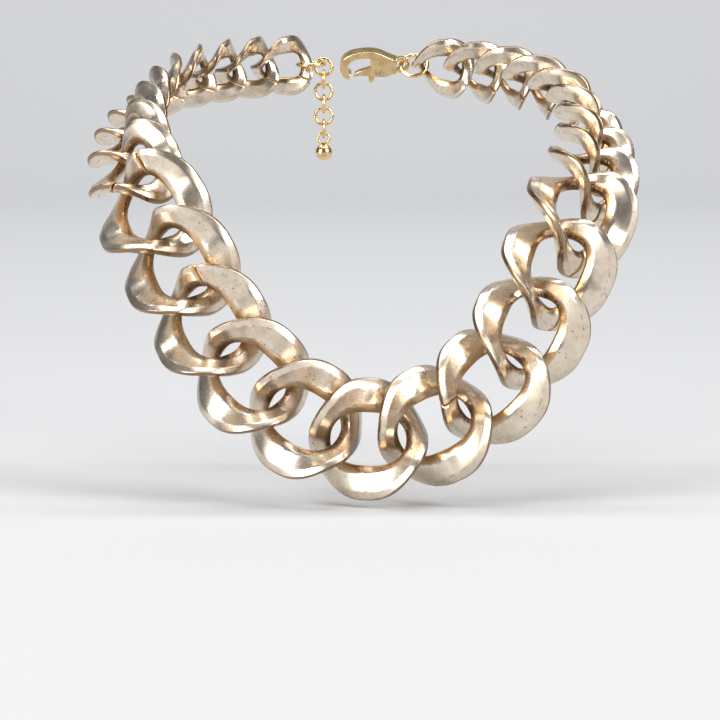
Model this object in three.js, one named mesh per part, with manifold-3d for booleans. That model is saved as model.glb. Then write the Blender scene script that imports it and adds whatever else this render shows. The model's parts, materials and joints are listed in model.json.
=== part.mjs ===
// Chunky graduated curb-chain necklace, posed as it is worn.
//
// Units are millimetres and +Z is up. The origin is the middle of the neck opening at the height
// of the nape, -Y is the wearer's front and +X is the right-hand side as seen from the front.
// The chain runs from the left tail, round the front and back to the right tail. Every link is
// one bent bar with a butt split, threaded through its neighbours. The clasp is drawn undone,
// with its nose beside the ring that it hooks.

import * as THREE from 'three';
import Module from 'manifold-3d';
import { mergeVertices } from 'three/addons/utils/BufferGeometryUtils.js';

const wasm = await Module();
wasm.setup();

// ---- driving dimensions --------------------------------------------------------------------

// A full-size link, measured in its own frame: x along the chain, y towards the neck, z outward.
// A roundness of 1 makes the ring an ellipse, and less than 1 makes it squarer.
const LINK_HALF_LENGTH = 15.1;
const LINK_HALF_HEIGHT = 13.6;
const LINK_REACH = 10.8;
const LINK_ROUNDNESS = 0.82;
const END_TWIST = THREE.MathUtils.degToRad(48);
const TWIST_POWER = 1.4;
const CHAIN_AXIS = new THREE.Vector3(1, 0, 0);
const BLADE_WIDTH = 10.8;
const BLADE_THICKNESS = 5.6;
const END_WIDTH = 7.0;
const END_THICKNESS = 4.8;
const SPLIT_GAP = 0.5;
const LINK_STEPS = 22;

// Outlines of the bar as parts of its width and thickness. A blade has a broad facet with a bevel
// each side, and the bar gets rounder towards the ends of the link.
const BLADE_OUTLINE = [
  [0.5, 0.2], [0.27, 0.5], [-0.27, 0.5], [-0.5, 0.2],
  [-0.5, -0.2], [-0.27, -0.5], [0.27, -0.5], [0.5, -0.2],
];
const END_OUTLINE = [
  [0.5, 0.2], [0.22, 0.46], [-0.22, 0.46], [-0.5, 0.2],
  [-0.5, -0.2], [-0.22, -0.46], [0.22, -0.46], [0.5, -0.2],
];

// Size of the links from the front centre to a tail. The first value is the centre link's.
const LINK_SCALES = [1, 1, 1, 1, 1, 1, 0.86, 0.78, 0.72, 0.68, 0.66, 0.64, 0.62, 0.6, 0.58];

// Where each link's split lies, in degrees round the link. Most face the wearer.
const HIDDEN_SPLIT = 215;
const SHOWN_SPLITS = { left_link_03: 145, left_link_05: 145, left_link_06: 325, right_link_02: 145 };

// The line that the chain lies on, from the left tail to the right tail: where it passes, and
// which way the skin under it faces.
const FRONT_CENTRE = 8;
const ROUTE = [
  { at: [-4, 56, 13], out: [0, 0.9, 0.44] },
  { at: [-34, 50.4, 12], out: [-0.35, 0.82, 0.46] },
  { at: [-57.4, 32, 9], out: [-0.66, 0.52, 0.55] },
  { at: [-70, 13, 3], out: [-0.68, 0.2, 0.7] },
  { at: [-76, -15, -8], out: [-0.56, -0.16, 0.81] },
  { at: [-71, -46.5, -24.5], out: [-0.42, -0.62, 0.66] },
  { at: [-60.2, -60, -43], out: [-0.3, -0.92, 0.25] },
  { at: [-38.6, -75, -79], out: [-0.12, -0.98, 0.16] },
  { at: [1.5, -80, -102.5], out: [0, -0.98, 0.16] },
  { at: [41.4, -75, -83.8], out: [0.14, -0.98, 0.16] },
  { at: [61.5, -61.5, -45.5], out: [0.34, -0.9, 0.26] },
  { at: [70.5, -46.5, -27.5], out: [0.48, -0.62, 0.62] },
  { at: [75.5, -14, -11.5], out: [0.66, -0.16, 0.73] },
  { at: [71, 14, 0], out: [0.76, 0.2, 0.62] },
  { at: [57.4, 33, 7], out: [0.68, 0.52, 0.52] },
  { at: [34, 51.2, 11], out: [0.35, 0.82, 0.46] },
  { at: [4, 56, 13], out: [0, 0.9, 0.44] },
];

// Jump rings between the last links and the clasp parts. They lean to suit the sloping bar end.
const JUMP_RADIUS = 4.6;
const JUMP_WIRE = 1.5;
const JUMP_PLAY = 0.3;
const JUMP_LEAN = THREE.MathUtils.degToRad(24);

// Lobster clasp, in its own frame: x from the eye to the nose, y up, z outward. It is drawn at
// a common 17 mm size and enlarged to suit the heavy chain.
const CLASP_ENLARGEMENT = 1.2;
const CLASP_THICKNESS = 3.6;
const CLASP_EYE_RADIUS = 2.5;
const CLASP_EYE_HOLE = 1.5;
const CLASP_EYE_THICKNESS = 1.4;
const CLASP_SLOT = 2.1;
const LEVER_THICKNESS = 1.5;
const PIN_RADIUS = 0.55;
const PIN_PLAY = 0.15;
const PIN_PLACE = [6.6, -1.7];
const SPRING_WIDTH = 1.2;
const SPRING_THICKNESS = 0.3;

// Extender chain and its end drop.
const EXTENDER_RINGS = 6;
const EXTENDER_RADIUS = 2.9;
const EXTENDER_WIRE = 1.2;
const EXTENDER_PLAY = 0.35;
const DROP_EYE_RADIUS = 1.9;
const DROP_EYE_WIRE = 0.9;
const DROP_RADIUS = 2.9;

// ---- finishes ------------------------------------------------------------------------------

const champagne = { color: 0xc9b18c, metalness: 1.0, roughness: 0.3 };
const brightGold = { color: 0xcda96a, metalness: 1.0, roughness: 0.22 };
const springSteel = { color: 0xa8a6a0, metalness: 1.0, roughness: 0.35 };

const necklace = new THREE.Group();

function addPiece(name, geometry, finish, placement = new THREE.Matrix4()) {
  const mesh = new THREE.Mesh(geometry, new THREE.MeshStandardMaterial(finish));
  mesh.name = name;
  mesh.applyMatrix4(placement);
  necklace.add(mesh);
  return mesh;
}

// ---- solids --------------------------------------------------------------------------------

// Skins a row of equal outlines into one closed body with flat ends.
function loft(outlines) {
  const sides = outlines[0].length;
  const last = (outlines.length - 1) * sides;
  const faces = [];
  for (let row = 0; row < last; row += sides) {
    for (let i = 0; i < sides; i += 1) {
      const j = (i + 1) % sides;
      faces.push(row + i, row + sides + i, row + j);
      faces.push(row + j, row + sides + i, row + sides + j);
    }
  }
  for (let i = 1; i < sides - 1; i += 1) {
    faces.push(0, i, i + 1);
    faces.push(last, last + i + 1, last + i);
  }
  const geometry = new THREE.BufferGeometry();
  geometry.setFromPoints(outlines.flat());
  geometry.setIndex(faces);
  geometry.computeVertexNormals();
  return geometry;
}

// A link is a flat ring of bar that has been wrung about its long axis, mostly near its ends.
// That sets each end square to the neighbour's and lets the chain lie flat.
function twistAt(x) {
  const share = Math.abs(x) / LINK_HALF_LENGTH;
  return -Math.sign(x) * END_TWIST * share ** TWIST_POWER;
}

// The bar's outline at one angle round the ring.
function signedPower(x, power) {
  return Math.sign(x) * Math.abs(x) ** power;
}

function linkOutline(angle, scale) {
  const cos = Math.cos(angle);
  const sin = Math.sin(angle);
  const outward = new THREE.Vector2(
    LINK_HALF_HEIGHT * signedPower(cos, 2 - LINK_ROUNDNESS),
    LINK_HALF_LENGTH * signedPower(sin, 2 - LINK_ROUNDNESS),
  ).normalize();
  const blade = sin ** 2;
  const width = THREE.MathUtils.lerp(END_WIDTH, BLADE_WIDTH, blade);
  const thickness = THREE.MathUtils.lerp(END_THICKNESS, BLADE_THICKNESS, blade);
  return BLADE_OUTLINE.map((bladeCorner, i) => {
    const across = THREE.MathUtils.lerp(END_OUTLINE[i][0], bladeCorner[0], blade) * width;
    const out = THREE.MathUtils.lerp(END_OUTLINE[i][1], bladeCorner[1], blade) * thickness;
    const x = LINK_HALF_LENGTH * signedPower(cos, LINK_ROUNDNESS) + outward.x * across;
    const y = LINK_HALF_HEIGHT * signedPower(sin, LINK_ROUNDNESS) + outward.y * across;
    const corner = new THREE.Vector3(0, y, out).applyAxisAngle(CHAIN_AXIS, twistAt(x));
    return corner.setX(x).multiplyScalar(scale);
  });
}

function linkGeometry(scale, splitDegrees) {
  const meanRadius = (LINK_HALF_LENGTH + LINK_HALF_HEIGHT) / 2;
  const gapAngle = SPLIT_GAP / meanRadius / scale;
  const start = THREE.MathUtils.degToRad(splitDegrees) + gapAngle / 2;
  const sweep = 2 * Math.PI - gapAngle;
  const outlines = [];
  for (let i = 0; i <= LINK_STEPS; i += 1) {
    outlines.push(linkOutline(start + (sweep * i) / LINK_STEPS, scale));
  }
  return loft(outlines);
}

function toSolid(geometry) {
  const bare = geometry.clone();
  bare.deleteAttribute('normal');
  bare.deleteAttribute('uv');
  const merged = mergeVertices(bare, 1e-4);
  return new wasm.Manifold(new wasm.Mesh({
    numProp: 3,
    vertProperties: new Float32Array(merged.attributes.position.array),
    triVerts: new Uint32Array(merged.index.array),
  }));
}

function toGeometry(solid) {
  const mesh = solid.getMesh();
  const geometry = new THREE.BufferGeometry();
  geometry.setAttribute('position', new THREE.BufferAttribute(mesh.vertProperties, 3));
  geometry.setIndex(new THREE.BufferAttribute(mesh.triVerts, 1));
  geometry.computeVertexNormals();
  return geometry;
}

// A flat plate of the given outline, centred on z = 0.
function plate(shape, thickness, segments = 6) {
  const options = { depth: thickness, bevelEnabled: false, curveSegments: segments };
  return new THREE.ExtrudeGeometry(shape, options).translate(0, 0, -thickness / 2);
}

function discShape(x, y, radius) {
  return new THREE.Shape().absarc(x, y, radius, 0, 2 * Math.PI);
}

// ---- the chain's layout --------------------------------------------------------------------

const toVector = ([x, y, z]) => new THREE.Vector3(x, y, z);
const route = new THREE.CatmullRomCurve3(ROUTE.map((stop) => toVector(stop.at)));
const facing = new THREE.CatmullRomCurve3(ROUTE.map((stop) => toVector(stop.out)));
route.arcLengthDivisions = 1600;
const routeLength = route.getLength();
const frontShare = FRONT_CENTRE / (ROUTE.length - 1);

function lengthToCentre() {
  let low = 0;
  let high = 1;
  for (let i = 0; i < 40; i += 1) {
    const middle = (low + high) / 2;
    if (route.getUtoTmapping(middle) < frontShare) {
      low = middle;
    } else {
      high = middle;
    }
  }
  return low * routeLength;
}

// A touching point between two neighbours: its place and the direction across the chain.
function contactAt(distance) {
  const share = route.getUtoTmapping(distance / routeLength);
  const place = route.getPoint(share);
  const along = route.getTangent(share);
  const out = facing.getPoint(share);
  out.addScaledVector(along, -out.dot(along)).normalize();
  const across = new THREE.Vector3().crossVectors(out, along).normalize();
  return { place, across };
}

// Contacts run from the left tail to the right tail, one more than there are links.
function allContacts() {
  const centre = lengthToCentre();
  const offsets = [];
  let reach = -LINK_REACH * LINK_SCALES[0];
  for (const scale of LINK_SCALES) {
    reach += 2 * LINK_REACH * scale;
    offsets.push(reach);
  }
  const left = offsets.map((offset) => centre - offset).reverse();
  const right = offsets.map((offset) => centre + offset);
  return [...left, ...right].map(contactAt);
}

// The placement of what spans two contacts: x from one to the other, y across, z outward.
function spanPlacement(from, to) {
  const along = to.place.clone().sub(from.place).normalize();
  const across = from.across.clone().add(to.across);
  across.addScaledVector(along, -across.dot(along)).normalize();
  const out = new THREE.Vector3().crossVectors(along, across);
  const middle = from.place.clone().add(to.place).multiplyScalar(0.5);
  return new THREE.Matrix4().makeBasis(along, across, out).setPosition(middle);
}

// ---- links ---------------------------------------------------------------------------------

const contacts = allContacts();
const perArm = LINK_SCALES.length - 1;

function linkName(step) {
  if (step === 0) {
    return 'front_centre_link';
  }
  const side = step < 0 ? 'left' : 'right';
  return `${side}_link_${String(Math.abs(step)).padStart(2, '0')}`;
}

for (let step = -perArm; step <= perArm; step += 1) {
  const name = linkName(step);
  const scale = LINK_SCALES[Math.abs(step)];
  const split = SHOWN_SPLITS[name] ?? HIDDEN_SPLIT;
  const placement = spanPlacement(contacts[step + perArm], contacts[step + perArm + 1]);
  addPiece(name, linkGeometry(scale, split), champagne, placement);
}

// ---- jump rings ----------------------------------------------------------------------------

const tailScale = LINK_SCALES[perArm];
const tailInner = (LINK_HALF_LENGTH - END_WIDTH / 2) * tailScale;
const jumpNear = tailInner - JUMP_WIRE / 2 - JUMP_PLAY;

function jumpRing(name, tailLink, direction) {
  const geometry = new THREE.TorusGeometry(JUMP_RADIUS, JUMP_WIRE / 2, 8, 20);
  geometry.rotateX(Math.PI / 2 - direction * JUMP_LEAN);
  const shift = new THREE.Matrix4().makeTranslation(direction * (jumpNear + JUMP_RADIUS), 0, 0);
  addPiece(name, geometry, brightGold, tailLink.matrix.clone().multiply(shift));
}

const leftTail = necklace.getObjectByName(linkName(-perArm));
const rightTail = necklace.getObjectByName(linkName(perArm));
jumpRing('left_jump_ring', leftTail, -1);
jumpRing('right_jump_ring', rightTail, 1);

// The middle of the jump ring's wire, at its end away from the link.
function jumpFarWire(tailLink, direction) {
  const reach = direction * (jumpNear + 2 * JUMP_RADIUS);
  return new THREE.Vector3(reach, 0, 0).applyMatrix4(tailLink.matrix);
}

// ---- clasp ---------------------------------------------------------------------------------

// The clasp points from the right jump ring towards the left one and lies flat to the nape.
const claspEye = jumpFarWire(rightTail, 1);
const claspAim = jumpFarWire(leftTail, -1);
const claspAlong = claspAim.clone().sub(claspEye).normalize();
const claspUp = new THREE.Vector3().setFromMatrixColumn(rightTail.matrix, 1);
claspUp.addScaledVector(claspAlong, -claspUp.dot(claspAlong)).normalize();
const claspOut = new THREE.Vector3().crossVectors(claspAlong, claspUp);
const claspPlacement = new THREE.Matrix4().makeBasis(claspAlong, claspUp, claspOut);
const enlargement = new THREE.Vector3().setScalar(CLASP_ENLARGEMENT);
claspPlacement.scale(enlargement).setPosition(claspEye);

// The hook's side view: a closed back with an eye, and an arm that curls over to a nose.
function claspOutline() {
  const shape = new THREE.Shape();
  shape.moveTo(1.2, 2.0);
  shape.bezierCurveTo(4.0, 2.6, 5.4, 4.6, 9.0, 4.6);
  shape.bezierCurveTo(14.2, 4.6, 17.6, 2.9, 17.6, -0.4);
  shape.bezierCurveTo(17.6, -2.4, 16.6, -3.8, 15.0, -4.4);
  shape.lineTo(14.2, -2.9);
  shape.bezierCurveTo(15.2, -2.4, 15.6, -1.4, 15.4, -0.2);
  shape.bezierCurveTo(15.0, 1.8, 12.4, 2.7, 9.6, 2.6);
  shape.bezierCurveTo(8.2, 2.5, 8.6, 1.2, 8.8, 0.2);
  shape.lineTo(8.8, -3.3);
  shape.lineTo(5.0, -3.3);
  shape.bezierCurveTo(3.8, -3.3, 2.8, -2.6, 1.2, -2.0);
  shape.lineTo(1.2, 2.0);
  return shape;
}

function pinSolid(radius, length) {
  const post = new THREE.CylinderGeometry(radius, radius, length, 12);
  post.rotateX(Math.PI / 2).translate(PIN_PLACE[0], PIN_PLACE[1], 0);
  return post;
}

function claspBody() {
  const hook = toSolid(plate(claspOutline(), CLASP_THICKNESS));
  const eye = toSolid(plate(discShape(0, 0, CLASP_EYE_RADIUS), CLASP_EYE_THICKNESS, 16));
  const eyeHole = toSolid(plate(discShape(0, 0, CLASP_EYE_HOLE), CLASP_THICKNESS * 2, 12));
  const pinHole = toSolid(pinSolid(PIN_RADIUS + PIN_PLAY, CLASP_THICKNESS * 2));
  const slot = new THREE.Shape();
  slot.moveTo(4.4, -6);
  slot.lineTo(10, -6);
  slot.lineTo(10, 0.9);
  slot.lineTo(4.4, 0.9);
  const leverSlot = toSolid(plate(slot, CLASP_SLOT));
  return hook.add(eye).subtract(eyeHole).subtract(leverSlot).subtract(pinHole);
}

// The thumb lever: a hub on the pin, a gate that reaches the nose, and a tab for the nail.
function claspLever() {
  const shape = new THREE.Shape();
  shape.moveTo(5.4, -0.7);
  shape.lineTo(7.6, -0.5);
  shape.bezierCurveTo(10.0, -1.2, 11.8, -1.9, 13.2, -2.7);
  shape.lineTo(13.6, -3.9);
  shape.bezierCurveTo(12.6, -3.7, 10.8, -3.4, 9.4, -3.6);
  shape.lineTo(9.2, -5.6);
  shape.lineTo(8.0, -5.6);
  shape.lineTo(7.4, -3.4);
  shape.lineTo(5.4, -2.9);
  shape.lineTo(5.4, -0.7);
  const gate = toSolid(plate(shape, LEVER_THICKNESS));
  return gate.subtract(toSolid(pinSolid(PIN_RADIUS + PIN_PLAY, CLASP_THICKNESS)));
}

// A leaf spring that lies along the roof of the slot, above the lever's hub.
function claspSpring() {
  const shape = new THREE.Shape();
  shape.moveTo(4.7, 0.55);
  shape.lineTo(8.4, 0.55);
  shape.lineTo(8.4, 0.55 - SPRING_THICKNESS);
  shape.lineTo(4.7 + SPRING_THICKNESS, 0.55 - SPRING_THICKNESS);
  shape.lineTo(4.7 + SPRING_THICKNESS, -2.4);
  shape.lineTo(4.7, -2.4);
  shape.lineTo(4.7, 0.55);
  return plate(shape, SPRING_WIDTH);
}

addPiece('clasp_body', toGeometry(claspBody()), brightGold, claspPlacement);
addPiece('clasp_lever', toGeometry(claspLever()), brightGold, claspPlacement);
addPiece('clasp_pin', pinSolid(PIN_RADIUS, CLASP_THICKNESS), springSteel, claspPlacement);
addPiece('clasp_spring', claspSpring(), springSteel, claspPlacement);

// ---- extender ------------------------------------------------------------------------------

// The extender hangs straight down from the far wire of the left jump ring. Its rings stand
// square to each other by turns, and the last one carries a small ball drop.
const extenderTop = jumpFarWire(leftTail, -1);
const firstDrop = EXTENDER_RADIUS - EXTENDER_WIRE / 2 - JUMP_WIRE / 2 - EXTENDER_PLAY;
const extenderPitch = 2 * EXTENDER_RADIUS - EXTENDER_WIRE - EXTENDER_PLAY;

for (let i = 0; i < EXTENDER_RINGS; i += 1) {
  const geometry = new THREE.TorusGeometry(EXTENDER_RADIUS, EXTENDER_WIRE / 2, 6, 16);
  geometry.rotateX(Math.PI / 2);
  if (i % 2 === 1) {
    geometry.rotateZ(Math.PI / 2);
  }
  const drop = firstDrop + i * extenderPitch;
  const placement = new THREE.Matrix4().makeTranslation(extenderTop.x, extenderTop.y, extenderTop.z - drop);
  addPiece(`extender_ring_${i + 1}`, geometry, brightGold, placement);
}

function endDrop() {
  const eye = new THREE.TorusGeometry(DROP_EYE_RADIUS, DROP_EYE_WIRE / 2, 6, 14).rotateX(Math.PI / 2);
  const ball = new THREE.SphereGeometry(DROP_RADIUS, 14, 10);
  ball.rotateX(Math.PI / 2).translate(0, 0, -(DROP_EYE_RADIUS + DROP_RADIUS));
  return toSolid(eye).add(toSolid(ball));
}

const lastWire = firstDrop + (EXTENDER_RINGS - 1) * extenderPitch + EXTENDER_RADIUS;
const eyeDrop = DROP_EYE_RADIUS - DROP_EYE_WIRE / 2 - EXTENDER_WIRE / 2 - EXTENDER_PLAY;
const dropPlacement = new THREE.Matrix4().makeTranslation(
  extenderTop.x,
  extenderTop.y,
  extenderTop.z - lastWire - eyeDrop,
);
addPiece('extender_drop', toGeometry(endDrop()), brightGold, dropPlacement);

// ---- joints --------------------------------------------------------------------------------

// Every joint is a hinge at the place where two pieces touch, at 0 as modelled. On the chain a
// positive angle opens the fold outward, away from the neck, and 0 is where the chain lies on it.
const FRONT_FOLD_RANGE = [0, 10];
const FOLD_RANGE = [0, 15];
const JUMP_RANGE = [0, 14];
const CLASP_RANGE = [0, 25];
const LEVER_RANGE = [0, 24];
const FIRST_HANG_RANGE = [-12, 7];
const HANG_RANGE = [-12, 22];
const joints = [];

function hinge(name, parent, child, place, axis, range) {
  joints.push({ name, parent, child, place: place.clone(), axis: axis.clone().normalize(), range });
}

for (let step = 1; step <= perArm; step += 1) {
  const number = String(step).padStart(2, '0');
  const onLeft = contacts[perArm + 1 - step];
  const onRight = contacts[perArm + step];
  const leftAxis = onLeft.across;
  const rightAxis = onRight.across.clone().negate();
  const range = step === 1 ? FRONT_FOLD_RANGE : FOLD_RANGE;
  hinge(`left_fold_${number}`, linkName(1 - step), linkName(-step), onLeft.place, leftAxis, range);
  hinge(`right_fold_${number}`, linkName(step - 1), linkName(step), onRight.place, rightAxis, range);
}

const tailBar = LINK_HALF_LENGTH * tailScale;
const leftBar = new THREE.Vector3(-tailBar, 0, 0).applyMatrix4(leftTail.matrix);
const rightBar = new THREE.Vector3(tailBar, 0, 0).applyMatrix4(rightTail.matrix);
const leftAcross = new THREE.Vector3().setFromMatrixColumn(leftTail.matrix, 1);
const rightAcross = new THREE.Vector3().setFromMatrixColumn(rightTail.matrix, 1).negate();
hinge('left_jump_swing', linkName(-perArm), 'left_jump_ring', leftBar, leftAcross, JUMP_RANGE);
hinge('right_jump_swing', linkName(perArm), 'right_jump_ring', rightBar, rightAcross, JUMP_RANGE);
hinge('clasp_swing', 'right_jump_ring', 'clasp_body', claspEye, rightAcross, CLASP_RANGE);

const pinPlace = new THREE.Vector3(...PIN_PLACE, 0).applyMatrix4(claspPlacement);
hinge('clasp_lever_press', 'clasp_body', 'clasp_lever', pinPlace, claspOut, LEVER_RANGE);

// The extender's rings swing by turns about the two level directions.
for (let i = 0; i <= EXTENDER_RINGS; i += 1) {
  const parent = i === 0 ? 'left_jump_ring' : `extender_ring_${i}`;
  const child = i === EXTENDER_RINGS ? 'extender_drop' : `extender_ring_${i + 1}`;
  const name = i === EXTENDER_RINGS ? 'extender_drop_swing' : `extender_swing_${i + 1}`;
  const wire = i === 0 ? 0 : firstDrop + (i - 1) * extenderPitch + EXTENDER_RADIUS;
  const place = new THREE.Vector3(extenderTop.x, extenderTop.y, extenderTop.z - wire);
  const axis = i % 2 === 0 ? new THREE.Vector3(0, 1, 0) : new THREE.Vector3(1, 0, 0);
  hinge(name, parent, child, place, axis, i === 0 ? FIRST_HANG_RANGE : HANG_RANGE);
}

necklace.userData.joints = joints;

export default necklace;
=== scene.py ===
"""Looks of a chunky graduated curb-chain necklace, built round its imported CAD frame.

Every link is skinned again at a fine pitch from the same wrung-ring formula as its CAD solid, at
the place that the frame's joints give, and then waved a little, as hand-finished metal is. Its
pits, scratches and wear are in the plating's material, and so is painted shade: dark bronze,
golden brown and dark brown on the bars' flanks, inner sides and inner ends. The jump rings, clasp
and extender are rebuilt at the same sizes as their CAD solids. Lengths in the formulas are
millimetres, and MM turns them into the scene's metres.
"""

import json
import math

import bpy
from mathutils import Matrix, Vector, noise

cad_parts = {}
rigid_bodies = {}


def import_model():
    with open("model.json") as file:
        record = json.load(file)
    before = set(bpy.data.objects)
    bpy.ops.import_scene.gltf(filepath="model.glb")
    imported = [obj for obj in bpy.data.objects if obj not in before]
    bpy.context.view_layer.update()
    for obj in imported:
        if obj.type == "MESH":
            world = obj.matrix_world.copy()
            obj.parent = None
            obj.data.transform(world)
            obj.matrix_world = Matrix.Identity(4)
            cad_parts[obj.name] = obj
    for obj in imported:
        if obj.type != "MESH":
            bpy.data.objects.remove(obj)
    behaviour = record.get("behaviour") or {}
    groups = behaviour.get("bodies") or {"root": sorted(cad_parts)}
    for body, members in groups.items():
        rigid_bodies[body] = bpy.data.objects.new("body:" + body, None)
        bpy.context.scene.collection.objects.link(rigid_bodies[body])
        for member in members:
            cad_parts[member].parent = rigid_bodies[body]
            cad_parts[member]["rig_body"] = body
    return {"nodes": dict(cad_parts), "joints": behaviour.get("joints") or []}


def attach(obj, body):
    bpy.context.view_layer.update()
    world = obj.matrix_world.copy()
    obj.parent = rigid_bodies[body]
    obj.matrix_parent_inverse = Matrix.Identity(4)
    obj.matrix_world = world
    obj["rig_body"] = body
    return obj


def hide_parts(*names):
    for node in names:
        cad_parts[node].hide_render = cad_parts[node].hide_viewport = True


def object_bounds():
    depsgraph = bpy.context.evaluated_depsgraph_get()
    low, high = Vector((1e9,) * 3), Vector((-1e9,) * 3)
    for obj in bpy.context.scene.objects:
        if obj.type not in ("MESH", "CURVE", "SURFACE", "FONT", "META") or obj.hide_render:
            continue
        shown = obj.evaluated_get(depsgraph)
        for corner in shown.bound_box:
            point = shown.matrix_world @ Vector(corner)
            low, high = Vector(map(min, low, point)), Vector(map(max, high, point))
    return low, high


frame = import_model()
cad_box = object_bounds()

MM = 0.001
TAU = 2 * math.pi
X_AXIS = Vector((1, 0, 0))
Y_AXIS = Vector((0, 1, 0))
Z_AXIS = Vector((0, 0, 1))

# ---- camera --------------------------------------------------------------------------------

CAMERA_AIM = Vector((-1.0, -80.0, -76.0)) * MM
CAMERA_DISTANCE = 1.0
CAMERA_ELEVATION = math.radians(6)
CAMERA_LENS = 162.5
CAMERA_NEAR = 0.05


def add_camera():
    data = bpy.data.cameras.new("camera")
    data.lens = CAMERA_LENS
    data.clip_start = CAMERA_NEAR
    camera = bpy.data.objects.new("camera", data)
    back = Vector((0, -math.cos(CAMERA_ELEVATION), math.sin(CAMERA_ELEVATION)))
    camera.location = CAMERA_AIM + back * CAMERA_DISTANCE
    camera.rotation_euler = (math.pi / 2 - CAMERA_ELEVATION, 0, 0)
    bpy.context.scene.collection.objects.link(camera)
    bpy.context.scene.camera = camera


add_camera()

# ---- sizes, as in the CAD source -------------------------------------------------------------

LINK_HALF_LENGTH = 15.1
LINK_HALF_HEIGHT = 13.6
LINK_ROUNDNESS = 0.82
END_TWIST = math.radians(48)
TWIST_POWER = 1.4
BLADE_WIDTH = 10.8
BLADE_THICKNESS = 5.6
END_WIDTH = 7.0
END_THICKNESS = 4.8
SPLIT_GAP = 0.5
LINKS_PER_ARM = 14
LINK_SCALES = [1, 1, 1, 1, 1, 1, 0.86, 0.78, 0.72, 0.68, 0.66, 0.64, 0.62, 0.6, 0.58]
HIDDEN_SPLIT = 215
SHOWN_SPLITS = {
    "left_link_03": 145,
    "left_link_05": 145,
    "left_link_06": 325,
    "right_link_02": 145,
}
BLADE_OUTLINE = [
    (0.5, 0.2), (0.27, 0.5), (-0.27, 0.5), (-0.5, 0.2),
    (-0.5, -0.2), (-0.27, -0.5), (0.27, -0.5), (0.5, -0.2),
]
END_OUTLINE = [
    (0.5, 0.2), (0.22, 0.46), (-0.22, 0.46), (-0.5, 0.2),
    (-0.5, -0.2), (-0.22, -0.46), (0.22, -0.46), (0.5, -0.2),
]
JUMP_RADIUS = 4.6
JUMP_WIRE = 1.5
JUMP_PLAY = 0.3
JUMP_LEAN = math.radians(24)
CLASP_ENLARGEMENT = 1.2
CLASP_THICKNESS = 3.6
CLASP_EYE_RADIUS = 2.5
CLASP_EYE_HOLE = 1.5
CLASP_EYE_THICKNESS = 1.4
CLASP_SLOT = 2.1
LEVER_THICKNESS = 1.5
PIN_RADIUS = 0.55
PIN_PLAY = 0.15
PIN_PLACE = Vector((6.6, -1.7, 0))
SPRING_WIDTH = 1.2
SPRING_THICKNESS = 0.3
EXTENDER_RINGS = 6
EXTENDER_RADIUS = 2.9
EXTENDER_WIRE = 1.2
EXTENDER_PLAY = 0.35
DROP_EYE_RADIUS = 1.9
DROP_EYE_WIRE = 0.9
DROP_RADIUS = 2.9

# How fine the links' skins are.
STEPS_ROUND_LINK = 116
CORNER_SHARE = 0.13
CORNER_POINTS = 4
FACET_BULGE = 0.012
FACET_POINTS = (0.22, 0.5, 0.78)
LIP_RADIUS = 0.4
OPEN_LIPS = {"left_link_03": 0.95, "left_link_05": 0.85}
LIP_ROWS = 3

# How far the hand finishing strays from the ideal bar, and the inset that makes room for it.
SEED = 11
RIPPLE_SEED = 50
SEED_SHIFTS = (7.3, 3.1, 5.7)
WAVE_LENGTH = 8.0
WAVE_HEIGHT = 0.08
RIPPLE_LENGTH = 3.0
RIPPLE_HEIGHT = 0.03
SKIN_INSET = 0.12

# Where each band of painted shade (inner sides, rims, inner ends) and the tarnish at the inner ends
# starts and is full: in shares of the bar's width out from its middle, and for the ends by the
# cosine of the angle round the link.
INNER_RANGE = (0.24, 0.44)
RIM_RANGE = (0.46, 0.50)
END_RANGE = (0.55, 0.95)

# The scratch map of a full-size link: the bar's length and girth, and the length of one unit.
BAR_LENGTH = 88.0
BAR_GIRTH = 28.0
UV_UNIT = 10.0


def lerp(a, b, t):
    return a + (b - a) * t


def smooth_step(low, high, x):
    t = min(1.0, max(0.0, (x - low) / (high - low)))
    return t * t * (3 - 2 * t)


# ---- the frame's joints ----------------------------------------------------------------------

JOINTS = {joint["name"]: joint for joint in frame["joints"]}


def joint_place(name):
    return Vector(JOINTS[name]["pos_m"])


def joint_axis(name):
    return Vector(JOINTS[name]["axis"]).normalized()


def frame_matrix(along, across, origin):
    """A right-handed frame with x along, y as near to across as it can be, and z outward."""
    along = along.normalized()
    across = (across - along * across.dot(along)).normalized()
    turn = Matrix((along, across, along.cross(across))).transposed()
    return Matrix.Translation(origin) @ turn.to_4x4()


# ---- mesh helpers ----------------------------------------------------------------------------


def add_mesh(name, verts, faces, material):
    mesh = bpy.data.meshes.new(name)
    mesh.from_pydata(verts, [], faces)
    mesh.polygons.foreach_set("use_smooth", [True] * len(mesh.polygons))
    mesh.materials.append(material)
    piece = bpy.data.objects.new(name, mesh)
    bpy.context.scene.collection.objects.link(piece)
    return piece


def stand_for(piece, node):
    """The piece is shown in place of one CAD node and rides on that node's body."""
    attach(piece, frame["nodes"][node]["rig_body"])
    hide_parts(node)


def add_point_values(piece, name, values):
    attribute = piece.data.attributes.new(name, "FLOAT", "POINT")
    attribute.data.foreach_set("value", values)


def skin(rows, closed):
    """Quads over rows of equal outlines: closed joins the last row to the first, else flat caps."""
    sides = len(rows[0])
    verts = [point for row in rows for point in row]
    faces = []
    for r in range(len(rows) if closed else len(rows) - 1):
        here = r * sides
        there = ((r + 1) % len(rows)) * sides
        for i in range(sides):
            j = (i + 1) % sides
            faces.append((here + i, there + i, there + j, here + j))
    if not closed:
        faces.append(tuple(range(sides)))
        faces.append(tuple(reversed(range(len(verts) - sides, len(verts)))))
    return verts, faces


def wander(point, seed, length, height):
    """A smooth random offset, in millimetres, for surfaces that were finished by hand.

    The seed only shifts the place that is looked up in Blender's noise. That noise has an offset
    of its own, taken from the clock and not set here, so the offsets differ from run to run.
    """
    place = point / length + Vector([seed * shift for shift in SEED_SHIFTS])
    return noise.noise_vector(place) * height


# ---- links -----------------------------------------------------------------------------------


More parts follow.
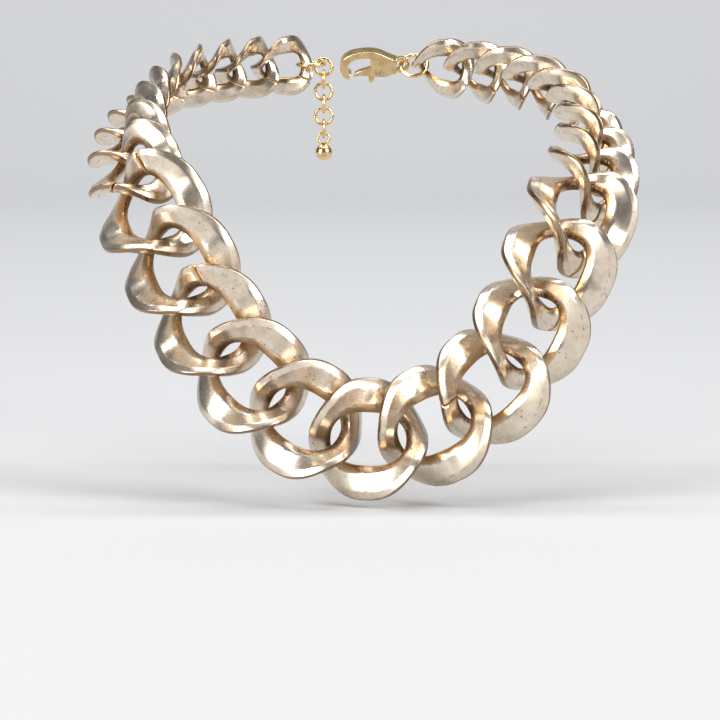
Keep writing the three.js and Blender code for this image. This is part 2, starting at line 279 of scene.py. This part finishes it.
def rounded_outline(outline):
    """The bar's eight-sided outline with rounded corners and slightly pillowed facets.

    Gives each point with how much it belongs to a corner, from 0 to 1.
    """
    corners = [Vector(c) for c in outline]
    points = []
    for i, corner in enumerate(corners):
        after = corners[(i + 1) % len(corners)]
        start = corner.lerp(corners[i - 1], CORNER_SHARE)
        end = corner.lerp(after, CORNER_SHARE)
        for k in range(CORNER_POINTS):
            t = k / (CORNER_POINTS - 1)
            round_point = start.lerp(corner, t).lerp(corner.lerp(end, t), t)
            points.append((round_point, 1 - abs(2 * t - 1)))
        for t in FACET_POINTS:
            bulge = 4 * t * (1 - t) * FACET_BULGE
            points.append((corner.lerp(after, t) * (1 + bulge), 0))
    return points


BLADE_POINTS = rounded_outline(BLADE_OUTLINE)
END_POINTS = rounded_outline(END_OUTLINE)
SIDES = len(BLADE_POINTS)


def signed_power(x, power):
    return math.copysign(abs(x) ** power, x)


def link_row(angle, scale, inset):
    """The bar's outline at one angle round the ring, in the link's own frame."""
    cos = math.cos(angle)
    sin = math.sin(angle)
    ring_x = LINK_HALF_LENGTH * signed_power(cos, LINK_ROUNDNESS)
    ring_y = LINK_HALF_HEIGHT * signed_power(sin, LINK_ROUNDNESS)
    outward = Vector((
        LINK_HALF_HEIGHT * signed_power(cos, 2 - LINK_ROUNDNESS),
        LINK_HALF_LENGTH * signed_power(sin, 2 - LINK_ROUNDNESS),
    )).normalized()
    blade = sin**2
    width = lerp(END_WIDTH, BLADE_WIDTH, blade) - 2 * inset
    thickness = lerp(END_THICKNESS, BLADE_THICKNESS, blade) - 2 * inset
    row = []
    for (end_point, _), (blade_point, _) in zip(END_POINTS, BLADE_POINTS):
        u, v = end_point.lerp(blade_point, blade)
        x = ring_x + outward.x * u * width
        y = ring_y + outward.y * u * width
        twist = -math.copysign(END_TWIST * (abs(x) / LINK_HALF_LENGTH) ** TWIST_POWER, x)
        corner = Matrix.Rotation(twist, 3, "X") @ Vector((x, y, v * thickness))
        row.append(corner * scale)
    return row


def link_stations(name, scale):
    """Each row's angle round the link, its inset, and 1 on the split's rounded lips or else 0."""
    mean_radius = (LINK_HALF_LENGTH + LINK_HALF_HEIGHT) / 2 * scale
    gap = SPLIT_GAP / mean_radius
    lip_radius = OPEN_LIPS.get(name, LIP_RADIUS)
    lip = lip_radius / mean_radius
    start = math.radians(SHOWN_SPLITS.get(name, HIDDEN_SPLIT)) + gap / 2
    end = start + TAU - gap
    turns = [math.pi / 2 * k / LIP_ROWS for k in range(LIP_ROWS)]
    lips = [(lip * (1 - math.cos(turn)), lip_radius * (1 - math.sin(turn))) for turn in turns]
    stations = [(start + a, inset, 1) for a, inset in lips]
    for k in range(STEPS_ROUND_LINK + 1):
        angle = lerp(start + lip, end - lip, k / STEPS_ROUND_LINK)
        stations.append((angle, 0, 0))
    return stations + [(end - a, inset, 1) for a, inset in reversed(lips)]


def add_link(step, name, matrix, material):
    scale = LINK_SCALES[abs(step)]
    seed = SEED + step
    stations = link_stations(name, scale)
    rows = [link_row(angle, scale, inset + SKIN_INSET) for angle, inset, _ in stations]
    for row in rows:
        for i, point in enumerate(row):
            wave = wander(point, seed, WAVE_LENGTH, WAVE_HEIGHT * scale)
            ripple = wander(point, seed + RIPPLE_SEED, RIPPLE_LENGTH, RIPPLE_HEIGHT * scale)
            row[i] = matrix @ ((point + wave + ripple) * MM)
    verts, faces = skin(rows, closed=False)
    piece = add_mesh(name + "_plated", verts, faces, material)
    add_wear_and_shade_values(piece, stations)
    add_bar_uv(piece, len(rows))
    stand_for(piece, name)


def add_wear_and_shade_values(piece, stations):
    """Tells the plating which points are on a crease, the inner side, a rim, an end or a lip, for its
    marks and its painted shade.
    """
    values = {"crease": [], "inner": [], "rim": [], "end": [], "lip": []}
    for angle, _, lip in stations:
        end = smooth_step(*END_RANGE, abs(math.cos(angle)))
        for point, corner in BLADE_POINTS:
            values["crease"].append(corner)
            values["inner"].append(smooth_step(*INNER_RANGE, -point.x))
            values["rim"].append(smooth_step(*RIM_RANGE, abs(point.x)))
            values["end"].append(end)
            values["lip"].append(lip)
    for name, numbers in values.items():
        add_point_values(piece, name, numbers)


def add_bar_uv(piece, rows):
    """Lays a map along and round the bar for its scratches, the same on every size of link."""
    layer = piece.data.uv_layers.new(name="bar")
    for polygon in piece.data.polygons:
        if len(polygon.vertices) != 4:
            continue
        at = [divmod(v, SIDES) for v in polygon.vertices]
        wraps = {side for _, side in at} == {0, SIDES - 1}
        for loop, (row, side) in zip(polygon.loop_indices, at):
            if wraps and side == 0:
                side = SIDES
            along = row / rows * BAR_LENGTH / UV_UNIT
            layer.data[loop].uv = (along, side / SIDES * BAR_GIRTH / UV_UNIT)


def link_name(step):
    if step == 0:
        return "front_centre_link"
    side = "left" if step < 0 else "right"
    return f"{side}_link_{abs(step):02d}"


def contact(index):
    """The place and across-the-chain direction of the contact to the left of link `index`."""
    if index <= 0:
        name = f"left_fold_{1 - index:02d}"
        return joint_place(name), joint_axis(name)
    name = f"right_fold_{index:02d}"
    return joint_place(name), -joint_axis(name)


def link_matrix(step):
    """A link's own frame: x along the chain, y towards the neck, z outward."""
    tail_bar = LINK_HALF_LENGTH * LINK_SCALES[abs(step)] * MM
    if step == -LINKS_PER_ARM:
        bar = joint_place("left_jump_swing")
        along = (contact(step + 1)[0] - bar).normalized()
        return frame_matrix(along, joint_axis("left_jump_swing"), bar + along * tail_bar)
    if step == LINKS_PER_ARM:
        bar = joint_place("right_jump_swing")
        along = (bar - contact(step)[0]).normalized()
        return frame_matrix(along, -joint_axis("right_jump_swing"), bar - along * tail_bar)
    left, left_across = contact(step)
    right, right_across = contact(step + 1)
    return frame_matrix(right - left, left_across + right_across, (left + right) / 2)


def add_links(material):
    for step in range(-LINKS_PER_ARM, LINKS_PER_ARM + 1):
        add_link(step, link_name(step), link_matrix(step), material)


# ---- rings -----------------------------------------------------------------------------------

RING_STEPS = 72
WIRE_SIDES = 18
RING_SPLIT_GAP = 0.07
RING_LIP = 0.1
JUMP_SPLIT = math.radians(75)
EXTENDER_SPLIT = math.radians(20)
BALL_RINGS = 24


def circle_row(centre, outward, axis, radius):
    """A wire's round outline at one place, in the plane of outward and axis."""
    turns = [TAU * k / WIRE_SIDES for k in range(WIRE_SIDES)]
    return [centre + (outward * math.cos(t) + axis * math.sin(t)) * radius for t in turns]


def wire_ring(radius, wire, split=None):
    """A round wire ring in the x-y plane; with a split angle, it is closed butt to butt there."""
    gap = 0 if split is None else RING_SPLIT_GAP / radius
    start = (split or 0) + gap / 2
    stations = [(start + (TAU - gap) * k / RING_STEPS, wire / 2) for k in range(RING_STEPS)]
    if split is not None:
        lip = RING_LIP / radius
        stations[0] = (start + lip, wire / 2)
        stations = [(start, wire / 2 - RING_LIP)] + stations
        end = start + TAU - gap
        stations += [(end - lip, wire / 2), (end, wire / 2 - RING_LIP)]
    rows = []
    for angle, wire_radius in stations:
        outward = Vector((math.cos(angle), math.sin(angle), 0))
        rows.append(circle_row(outward * radius, outward, Z_AXIS, wire_radius))
    return skin(rows, closed=split is None)


def placed(verts, matrix):
    return [matrix @ (v * MM) for v in verts]


def add_ring(name, node, radius, wire, matrix, split, material):
    verts, faces = wire_ring(radius, wire, split)
    piece = add_mesh(name, placed(verts, matrix), faces, material)
    stand_for(piece, node)


def add_jump_rings(material):
    tail_scale = LINK_SCALES[-1]
    inner = (LINK_HALF_LENGTH - END_WIDTH / 2) * tail_scale
    centre = inner - JUMP_WIRE / 2 - JUMP_PLAY + JUMP_RADIUS
    for side, direction in (("left", -1), ("right", 1)):
        tail = link_matrix(direction * LINKS_PER_ARM)
        shift = Matrix.Translation(Vector((direction * centre, 0, 0)) * MM)
        lean = Matrix.Rotation(math.pi / 2 - direction * JUMP_LEAN, 4, "X")
        matrix = tail @ shift @ lean
        node = f"{side}_jump_ring"
        add_ring(node + "_wire", node, JUMP_RADIUS, JUMP_WIRE, matrix, JUMP_SPLIT, material)


def add_extender(material):
    level = Matrix.Rotation(math.pi / 2, 4, "X")
    square = Matrix.Rotation(math.pi / 2, 4, "Z")
    for i in range(EXTENDER_RINGS):
        below = f"extender_swing_{i + 2}" if i < EXTENDER_RINGS - 1 else "extender_drop_swing"
        centre = joint_place(below) + Vector((0, 0, EXTENDER_RADIUS * MM))
        turn = square @ level if i % 2 else level
        node = f"extender_ring_{i + 1}"
        place = Matrix.Translation(centre) @ turn
        add_ring(node + "_wire", node, EXTENDER_RADIUS, EXTENDER_WIRE, place, EXTENDER_SPLIT, material)


def ball_rows(radius):
    """A round ball, as level rows from top to bottom."""
    rows = []
    for k in range(1, BALL_RINGS):
        turn = math.pi * k / BALL_RINGS
        centre = Vector((0, 0, radius * math.cos(turn)))
        rows.append(circle_row(centre, X_AXIS, Y_AXIS, radius * math.sin(turn)))
    return rows


def add_drop(material):
    """The extender's end: a soldered eye on a round ball, with the eye's foot let into the ball."""
    slack = DROP_EYE_RADIUS - DROP_EYE_WIRE / 2 - EXTENDER_WIRE / 2 - EXTENDER_PLAY
    eye_centre = joint_place("extender_drop_swing") - Vector((0, 0, slack * MM))
    level = Matrix.Translation(eye_centre) @ Matrix.Rotation(math.pi / 2, 4, "X")
    verts, faces = wire_ring(DROP_EYE_RADIUS, DROP_EYE_WIRE)
    verts = placed(verts, level)
    ball_centre = eye_centre - Vector((0, 0, (DROP_EYE_RADIUS + DROP_RADIUS) * MM))
    ball_verts, ball_faces = skin(ball_rows(DROP_RADIUS), closed=False)
    first = len(verts)
    verts += placed(ball_verts, Matrix.Translation(ball_centre))
    faces += [tuple(reversed([first + i for i in face])) for face in ball_faces]
    piece = add_mesh("extender_drop_ball", verts, faces, material)
    stand_for(piece, "extender_drop")


# ---- clasp -----------------------------------------------------------------------------------

BEZIER_STEPS = 14
CIRCLE_STEPS = 40
SAME_POINT = 1e-6
CLASP_BEVEL = 0.5
EYE_BEVEL = 0.22
LEVER_BEVEL = 0.22
BEVEL_SEGMENTS = 4
BEVEL_ANGLE = math.radians(40)
PIN_DOME = 0.18
PIN_DOME_STEPS = 4


def bezier(start, a, b, end):
    """Points along a cubic curve, without its first."""
    points = [Vector(p) for p in (start, a, b, end)]
    found = []
    for k in range(1, BEZIER_STEPS + 1):
        t = k / BEZIER_STEPS
        weights = ((1 - t) ** 3, 3 * t * (1 - t) ** 2, 3 * t * t * (1 - t), t**3)
        found.append(sum((p * w for p, w in zip(points, weights)), Vector((0, 0))))
    return found


def outline_from(start, *stretches):
    """A closed outline: each stretch is one point for a line or three for a cubic curve."""
    points = [Vector(start)]
    for stretch in stretches:
        if len(stretch) == 1:
            points.append(Vector(stretch[0]))
        else:
            points += bezier(points[-1], *stretch)
    if (points[0] - points[-1]).length < SAME_POINT:
        points.pop()
    return points


HOOK_OUTLINE = outline_from(
    (1.2, 2.0),
    [(4.0, 2.6), (5.4, 4.6), (9.0, 4.6)],
    [(14.2, 4.6), (17.6, 2.9), (17.6, -0.4)],
    [(17.6, -2.4), (16.6, -3.8), (15.0, -4.4)],
    [(14.2, -2.9)],
    [(15.2, -2.4), (15.6, -1.4), (15.4, -0.2)],
    [(15.0, 1.8), (12.4, 2.7), (9.6, 2.6)],
    [(8.2, 2.5), (8.6, 1.2), (8.8, 0.2)],
    [(8.8, -3.3)],
    [(5.0, -3.3)],
    [(3.8, -3.3), (2.8, -2.6), (1.2, -2.0)],
)
LEVER_OUTLINE = outline_from(
    (5.4, -0.7),
    [(7.6, -0.5)],
    [(10.0, -1.2), (11.8, -1.9), (13.2, -2.7)],
    [(13.6, -3.9)],
    [(12.6, -3.7), (10.8, -3.4), (9.4, -3.6)],
    [(9.2, -5.6)],
    [(8.0, -5.6)],
    [(7.4, -3.4)],
    [(5.4, -2.9)],
)
SLOT_OUTLINE = outline_from((4.4, 0.9), [(10, 0.9)], [(10, -6)], [(4.4, -6)])
SPRING_PATH = [(8.4, 0.4), (5.6, 0.4), (5.05, 0.3), (4.87, 0.1), (4.85, -0.2), (4.85, -2.4)]


def clasp_matrix():
    """The clasp's own frame: x from its eye to its nose, y across, z outward."""
    eye = joint_place("clasp_swing")
    across = link_matrix(LINKS_PER_ARM).col[1].xyz
    matrix = frame_matrix(joint_place("extender_swing_1") - eye, across, eye)
    return matrix @ Matrix.Scale(CLASP_ENLARGEMENT, 4)


def slab(name, outline, thickness, material):
    """A flat plate of the outline, centred on z = 0."""
    half = thickness / 2
    count = len(outline)
    verts = [Vector((p.x, p.y, z)) for z in (-half, half) for p in outline]
    faces = [tuple(range(count)), tuple(range(2 * count - 1, count - 1, -1))]
    for i in range(count):
        j = (i + 1) % count
        faces.append((i, count + i, count + j, j))
    return add_mesh(name, verts, faces, material)


def circle_outline(centre, radius):
    points = []
    for k in range(CIRCLE_STEPS):
        turn = -TAU * k / CIRCLE_STEPS
        x = centre[0] + radius * math.cos(turn)
        y = centre[1] + radius * math.sin(turn)
        points.append(Vector((x, y)))
    return points


def apply_modifier(piece, name, kind, **settings):
    modifier = piece.modifiers.new(name, kind)
    for key, value in settings.items():
        setattr(modifier, key, value)
    with bpy.context.temp_override(object=piece, active_object=piece, selected_objects=[piece]):
        bpy.ops.object.modifier_apply(modifier=name)


def combine(piece, tool, operation):
    """Joins the tool to the piece or cuts it away, and removes the tool."""
    apply_modifier(piece, "combine", "BOOLEAN", object=tool, operation=operation, solver="EXACT")
    bpy.data.objects.remove(tool)


def soften(piece, width):
    """Rounds the piece's sharp edges."""
    apply_modifier(
        piece, "bevel", "BEVEL", width=width, segments=BEVEL_SEGMENTS, limit_method="ANGLE",
        angle_limit=BEVEL_ANGLE, harden_normals=False, use_clamp_overlap=True,
    )


def bore_for_pin(piece, material):
    bore = circle_outline(PIN_PLACE, PIN_RADIUS + PIN_PLAY)
    combine(piece, slab("bore", bore, 2 * CLASP_THICKNESS, material), "DIFFERENCE")


def place_clasp_part(piece, node):
    """Moves a part drawn in the clasp's own frame into place and gives it its body."""
    piece.data.transform(clasp_matrix() @ Matrix.Scale(MM, 4))
    piece.data.polygons.foreach_set("use_smooth", [True] * len(piece.data.polygons))
    apply_modifier(piece, "normals", "WEIGHTED_NORMAL", keep_sharp=True)
    stand_for(piece, node)


def add_clasp_body(material):
    hook = slab("clasp_body_cast", HOOK_OUTLINE, CLASP_THICKNESS, material)
    soften(hook, CLASP_BEVEL)
    eye = slab("eye", circle_outline((0, 0), CLASP_EYE_RADIUS), CLASP_EYE_THICKNESS, material)
    soften(eye, EYE_BEVEL)
    combine(hook, eye, "UNION")
    hole = slab("hole", circle_outline((0, 0), CLASP_EYE_HOLE), 2 * CLASP_THICKNESS, material)
    combine(hook, hole, "DIFFERENCE")
    combine(hook, slab("slot", SLOT_OUTLINE, CLASP_SLOT, material), "DIFFERENCE")
    bore_for_pin(hook, material)
    place_clasp_part(hook, "clasp_body")


def add_clasp_lever(material):
    lever = slab("clasp_lever_cast", LEVER_OUTLINE, LEVER_THICKNESS, material)
    soften(lever, LEVER_BEVEL)
    bore_for_pin(lever, material)
    place_clasp_part(lever, "clasp_lever")


def add_clasp_pin(material):
    """A pin with its two ends peened into shallow domes."""
    half = CLASP_THICKNESS / 2
    stations = [(-half, PIN_RADIUS - PIN_DOME)]
    for k in range(1, PIN_DOME_STEPS + 1):
        turn = math.pi / 2 * k / PIN_DOME_STEPS
        z = -half + PIN_DOME * (1 - math.cos(turn))
        stations.append((z, PIN_RADIUS - PIN_DOME * (1 - math.sin(turn))))
    stations += [(-z, radius) for z, radius in reversed(stations)]
    rows = []
    for z, radius in stations:
        centre = PIN_PLACE + Vector((0, 0, z))
        rows.append(circle_row(centre, X_AXIS, Y_AXIS, radius))
    verts, faces = skin(rows, closed=False)
    faces = [tuple(reversed(face)) for face in faces]
    piece = add_mesh("clasp_pin_turned", verts, faces, material)
    place_clasp_part(piece, "clasp_pin")


def add_clasp_spring(material):
    """A leaf of spring strip with one bent corner."""
    edge = SPRING_WIDTH / 2
    rows = []
    for i, point in enumerate(SPRING_PATH):
        before = Vector(SPRING_PATH[max(i - 1, 0)])
        after = Vector(SPRING_PATH[min(i + 1, len(SPRING_PATH) - 1)])
        along = (after - before).normalized()
        side = Vector((along.y, -along.x)) * (SPRING_THICKNESS / 2)
        upper = Vector(point) + side
        lower = Vector(point) - side
        row = [(*upper, edge), (*lower, edge), (*lower, -edge), (*upper, -edge)]
        rows.append([Vector(corner) for corner in row])
    verts, faces = skin(rows, closed=False)
    piece = add_mesh("clasp_spring_leaf", verts, faces, material)
    place_clasp_part(piece, "clasp_spring")


# ---- materials -------------------------------------------------------------------------------


MIX_COLOUR_SOCKETS = (0, 6, 7)
MIX_COLOUR_RESULT = 2

# Base colours, in linear light.
PALE_CHAMPAGNE = (0.79, 0.695, 0.58, 1)
ROSY_CHAMPAGNE = (0.73, 0.62, 0.485, 1)
DULLED_CHAMPAGNE = (0.52, 0.435, 0.335, 1)
# Painted shade: dark bronze for the bars' side flanks.
RIM_SHADE_BRONZE = (0.25, 0.155, 0.08, 1)
# Painted shade: golden brown for the bars' inner sides, standing in for their shade and the gold's
# inter-reflection.
INNER_SHADE_GOLD = (0.46, 0.265, 0.105, 1)
LIP_GOLD = (0.66, 0.43, 0.19, 1)
# Painted shade: dark brown for the recesses at the links' inner ends.
RECESS_SHADE_BROWN = (0.17, 0.095, 0.042, 1)
MARK_UMBER = (0.06, 0.038, 0.024, 1)
BRIGHT_GOLD = (0.87, 0.66, 0.36, 1)
DEEP_GOLD = (0.74, 0.50, 0.22, 1)
PALE_STEEL = (0.62, 0.61, 0.58, 1)
GREY_STEEL = (0.5, 0.49, 0.47, 1)
PAPER_TONES = ((0.44, 0.444, 0.455, 1), (0.48, 0.484, 0.495, 1))
PAPER_ROUGHNESS = 0.9

# How much of each colour shows over the champagne plating: the mottle, lip colour and marks are
# the plating's own, and the rim, inner-side and recess colours are painted shade.
MOTTLE_SHARE = 0.42
RIM_SHADE_SHARE = 0.85
INNER_SHADE_SHARE = 0.92
RECESS_SHADE_SHARE = 0.62
LIP_SHARE = 0.8
MARK_SHARE = 0.86


class Nodes:
    """A short way to build one material's node tree."""

    def __init__(self, name):
        self.material = bpy.data.materials.new(name)
        self.material.use_nodes = True
        self.tree = self.material.node_tree
        self.shader = self.tree.nodes["Principled BSDF"]

    def feed(self, socket, value):
        """Links another node's output to the socket, or sets it to a plain value."""
        if isinstance(value, bpy.types.NodeSocket):
            self.tree.links.new(value, socket)
        else:
            socket.default_value = value

    def add(self, kind, **inputs):
        node = self.tree.nodes.new(kind)
        for key, value in inputs.items():
            self.feed(node.inputs[key.replace("_", " ")], value)
        return node

    def maths(self, operation, *values, clamp=False):
        node = self.tree.nodes.new("ShaderNodeMath")
        node.operation = operation
        node.use_clamp = clamp
        for socket, value in zip(node.inputs, values):
            self.feed(socket, value)
        return node.outputs[0]

    def times(self, a, b):
        return self.maths("MULTIPLY", a, b)

    def mix(self, share, a, b):
        """The first colour, with a share of the second over it."""
        node = self.tree.nodes.new("ShaderNodeMix")
        node.data_type = "RGBA"
        for key, value in zip(MIX_COLOUR_SOCKETS, (share, a, b)):
            self.feed(node.inputs[key], value)
        return node.outputs[MIX_COLOUR_RESULT]

    def ramp(self, value, low, high):
        """0 below low, 1 above high, smooth between."""
        node = self.add("ShaderNodeMapRange", Value=value, From_Min=low, From_Max=high)
        node.interpolation_type = "SMOOTHSTEP"
        return node.outputs[0]

    def attribute(self, name):
        node = self.tree.nodes.new("ShaderNodeAttribute")
        node.attribute_name = name
        return node.outputs["Fac"]

    def coordinates(self, source, scale=(1, 1, 1)):
        """Object or bar-map coordinates, stretched by scale."""
        if source == "bar":
            found = self.tree.nodes.new("ShaderNodeUVMap")
            found.uv_map = "bar"
            output = found.outputs[0]
        else:
            output = self.tree.nodes.new("ShaderNodeTexCoord").outputs["Object"]
        return self.add("ShaderNodeMapping", Vector=output, Scale=scale).outputs[0]

    def noise(self, coordinates, scale, detail, roughness=0.5):
        inputs = {"Vector": coordinates, "Scale": scale, "Detail": detail, "Roughness": roughness}
        return self.add("ShaderNodeTexNoise", **inputs).outputs[0]

    def bump(self, height, strength, depth):
        """Gives the surface a fine relief, with depth in metres."""
        node = self.add("ShaderNodeBump", Height=height, Strength=strength, Distance=depth)
        self.link(node.outputs[0], "Normal")

    def link(self, output, name):
        self.tree.links.new(output, self.shader.inputs[name])


def champagne_plating():
    """Pale plating over a cast bar: cloudy gloss, painted shade on the rims, inner sides and inner
    ends, dark marks and scratches.
    """
    n = Nodes("champagne_plating")
    place = n.coordinates("object")
    cloud = n.noise(place, scale=160, detail=4)
    patch = n.noise(place, scale=60, detail=2)
    grain = n.noise(place, scale=2600, detail=2)
    scratch_place = n.coordinates("bar", (1.2, 30, 1))
    scratches = n.noise(scratch_place, scale=3.0, detail=4, roughness=0.65)
    scratches = n.ramp(scratches, low=0.62, high=0.74)
    crease = n.attribute("crease")
    inner = n.attribute("inner")
    end = n.attribute("end")
    lip = n.attribute("lip")
    rim = n.attribute("rim")

    mottle = n.noise(place, scale=520, detail=6, roughness=0.72)
    mottle = n.ramp(mottle, low=0.44, high=0.66)
    inner_end = n.times(inner, end)
    # Painted shade: golden-brown patches on the inner sides, standing in for shade and
    # inter-reflection.
    painted_inner_shade = n.times(inner, n.ramp(patch, low=0.15, high=0.55))
    colour = n.mix(n.ramp(cloud, low=0.35, high=0.7), PALE_CHAMPAGNE, ROSY_CHAMPAGNE)
    colour = n.mix(n.times(mottle, MOTTLE_SHARE), colour, DULLED_CHAMPAGNE)
    # Painted shade: the side flanks of each bar go dark bronze.
    colour = n.mix(n.times(rim, RIM_SHADE_SHARE), colour, RIM_SHADE_BRONZE)
    colour = n.mix(n.times(painted_inner_shade, INNER_SHADE_SHARE), colour, INNER_SHADE_GOLD)
    # Painted shade: the inner ends, where the links meet, go dark brown.
    colour = n.mix(n.times(inner_end, RECESS_SHADE_SHARE), colour, RECESS_SHADE_BROWN)
    colour = n.mix(n.times(lip, LIP_SHARE), colour, LIP_GOLD)

    # Pits in clusters, broken dark lines along the creases, and speckled tarnish in the recesses.
    cells = n.add("ShaderNodeTexVoronoi", Vector=place, Scale=620.0).outputs["Distance"]
    clusters = n.ramp(n.noise(place, scale=130, detail=2), low=0.54, high=0.62)
    pits = n.times(n.ramp(cells, low=0.22, high=0.10), clusters)
    breaks = n.noise(place, scale=520, detail=4, roughness=0.6)
    breaks = n.ramp(breaks, low=0.47, high=0.55)
    edge_line = n.times(n.ramp(crease, low=0.45, high=0.95), breaks)
    edge_line = n.times(edge_line, n.ramp(patch, low=0.40, high=0.52))
    speckle = n.noise(place, scale=1500, detail=3, roughness=0.7)
    speckle = n.ramp(speckle, low=0.42, high=0.60)
    recess = n.times(inner_end, n.ramp(patch, low=0.36, high=0.50))
    tarnish = n.times(recess, speckle)
    marks = n.maths("MAXIMUM", n.maths("MAXIMUM", pits, edge_line), tarnish)
    colour = n.mix(n.times(marks, MARK_SHARE), colour, MARK_UMBER)
    n.link(colour, "Base Color")

    rough = n.maths("MULTIPLY_ADD", cloud, 0.18, 0.18)
    rough = n.maths("ADD", rough, n.times(scratches, 0.10))
    rough = n.maths("ADD", rough, n.times(marks, 0.35), clamp=True)
    n.link(rough, "Roughness")

    height = n.times(n.noise(place, scale=950, detail=2), 0.35)
    height = n.maths("ADD", height, n.times(grain, 0.12))
    height = n.maths("SUBTRACT", height, n.times(scratches, 0.20))
    height = n.maths("SUBTRACT", height, n.times(marks, 1.1))
    n.bump(height, strength=0.32, depth=0.12 * MM)
    n.shader.inputs["Metallic"].default_value = 1
    return n.material


def gold_plating():
    """Yellower gloss plating on the findings, a little uneven in colour and gloss."""
    n = Nodes("gold_plating")
    place = n.coordinates("object")
    cloud = n.noise(place, scale=400, detail=3)
    fine = n.noise(place, scale=3000, detail=2)
    n.link(n.mix(n.ramp(cloud, low=0.35, high=0.7), BRIGHT_GOLD, DEEP_GOLD), "Base Color")
    n.link(n.maths("MULTIPLY_ADD", cloud, 0.22, 0.08), "Roughness")
    height = n.maths("ADD", n.times(cloud, 0.5), n.times(fine, 0.3))
    n.bump(height, strength=0.2, depth=0.1 * MM)
    n.shader.inputs["Metallic"].default_value = 1
    return n.material


def spring_steel():
    """Bright rolled steel with faint level streaks."""
    n = Nodes("spring_steel")
    streaks = n.noise(n.coordinates("object", (1, 1, 12)), scale=500, detail=3)
    n.link(n.mix(n.ramp(streaks, low=0.3, high=0.7), PALE_STEEL, GREY_STEEL), "Base Color")
    n.link(n.ramp(streaks, low=-0.6, high=2.2), "Roughness")
    n.bump(streaks, strength=0.15, depth=0.05 * MM)
    n.shader.inputs["Metallic"].default_value = 1
    return n.material


def studio_paper():
    """Matt, pale grey paper."""
    n = Nodes("studio_paper")
    fibre = n.noise(n.coordinates("object"), scale=900, detail=2)
    n.link(n.mix(fibre, *PAPER_TONES), "Base Color")
    n.shader.inputs["Roughness"].default_value = PAPER_ROUGHNESS
    return n.material


champagne = champagne_plating()
gold = gold_plating()
steel = spring_steel()

add_links(champagne)
add_jump_rings(gold)
add_extender(gold)
add_drop(gold)
add_clasp_body(gold)
add_clasp_lever(gold)
add_clasp_pin(steel)
add_clasp_spring(steel)

# ---- floor, backdrop and light ---------------------------------------------------------------

FLOOR_CLEARANCE = 2 * MM
BACKDROP_WIDTH = 12.0
BACKDROP_FRONT = -4.0
BACKDROP_BEND = 1.6
BACKDROP_RADIUS = 1.2
BACKDROP_STEPS = 24
BACKDROP_TOP = 3.5
LIGHT_AIM = (0, -0.06, -0.05)
BACKDROP_AIM = (0, 2.6, 0.3)
WARM_WHITE = (1, 0.985, 0.96)
ROOM_COLOUR = (0.62, 0.64, 0.68, 1)
ROOM_STRENGTH = 0.22
EXPOSURE = 0.12


def add_backdrop():
    """A paper sweep: a level floor that curves up into an upright backdrop behind."""
    height = cad_box[0].z - FLOOR_CLEARANCE
    profile = [(BACKDROP_FRONT, height)]
    for k in range(BACKDROP_STEPS + 1):
        turn = math.pi / 2 * k / BACKDROP_STEPS
        lift = BACKDROP_RADIUS * (1 - math.cos(turn))
        profile.append((BACKDROP_BEND + BACKDROP_RADIUS * math.sin(turn), height + lift))
    profile.append((BACKDROP_BEND + BACKDROP_RADIUS, BACKDROP_TOP))
    half = BACKDROP_WIDTH / 2
    verts = [(x, y, z) for y, z in profile for x in (-half, half)]
    faces = [(2 * i, 2 * i + 1, 2 * i + 3, 2 * i + 2) for i in range(len(profile) - 1)]
    add_mesh("paper_sweep", verts, faces, studio_paper())


def add_area_light(name, place, aim, size, power, colour=(1, 1, 1)):
    data = bpy.data.lights.new(name, "AREA")
    data.shape = "RECTANGLE"
    data.size, data.size_y = size
    data.energy = power
    data.color = colour
    light = bpy.data.objects.new(name, data)
    light.location = place
    light.rotation_mode = "QUATERNION"
    direction = Vector(aim) - Vector(place)
    light.rotation_quaternion = direction.to_track_quat("-Z", "Y")
    bpy.context.scene.collection.objects.link(light)


def add_world():
    """A dim, neutral room, so that the metal has something darker than the lights to reflect."""
    world = bpy.data.worlds.new("studio")
    bpy.context.scene.world = world
    world.use_nodes = True
    background = world.node_tree.nodes["Background"]
    background.inputs["Color"].default_value = ROOM_COLOUR
    background.inputs["Strength"].default_value = ROOM_STRENGTH


add_backdrop()
add_area_light(
    "left_softbox", (-0.95, -0.75, 0.3), LIGHT_AIM, size=(0.75, 0.95), power=22, colour=WARM_WHITE
)
add_area_light(
    "right_softbox", (0.9, -0.65, 0.5), LIGHT_AIM, size=(0.55, 0.9), power=15, colour=WARM_WHITE
)
add_area_light("top_softbox", (0, -0.1, 1.0), LIGHT_AIM, size=(0.9, 0.5), power=5)
add_area_light("backdrop_light", (0, 0.7, 1.9), BACKDROP_AIM, size=(3.0, 0.4), power=64)
add_world()
bpy.context.scene.view_settings.view_transform = "Standard"
bpy.context.scene.view_settings.exposure = EXPOSURE
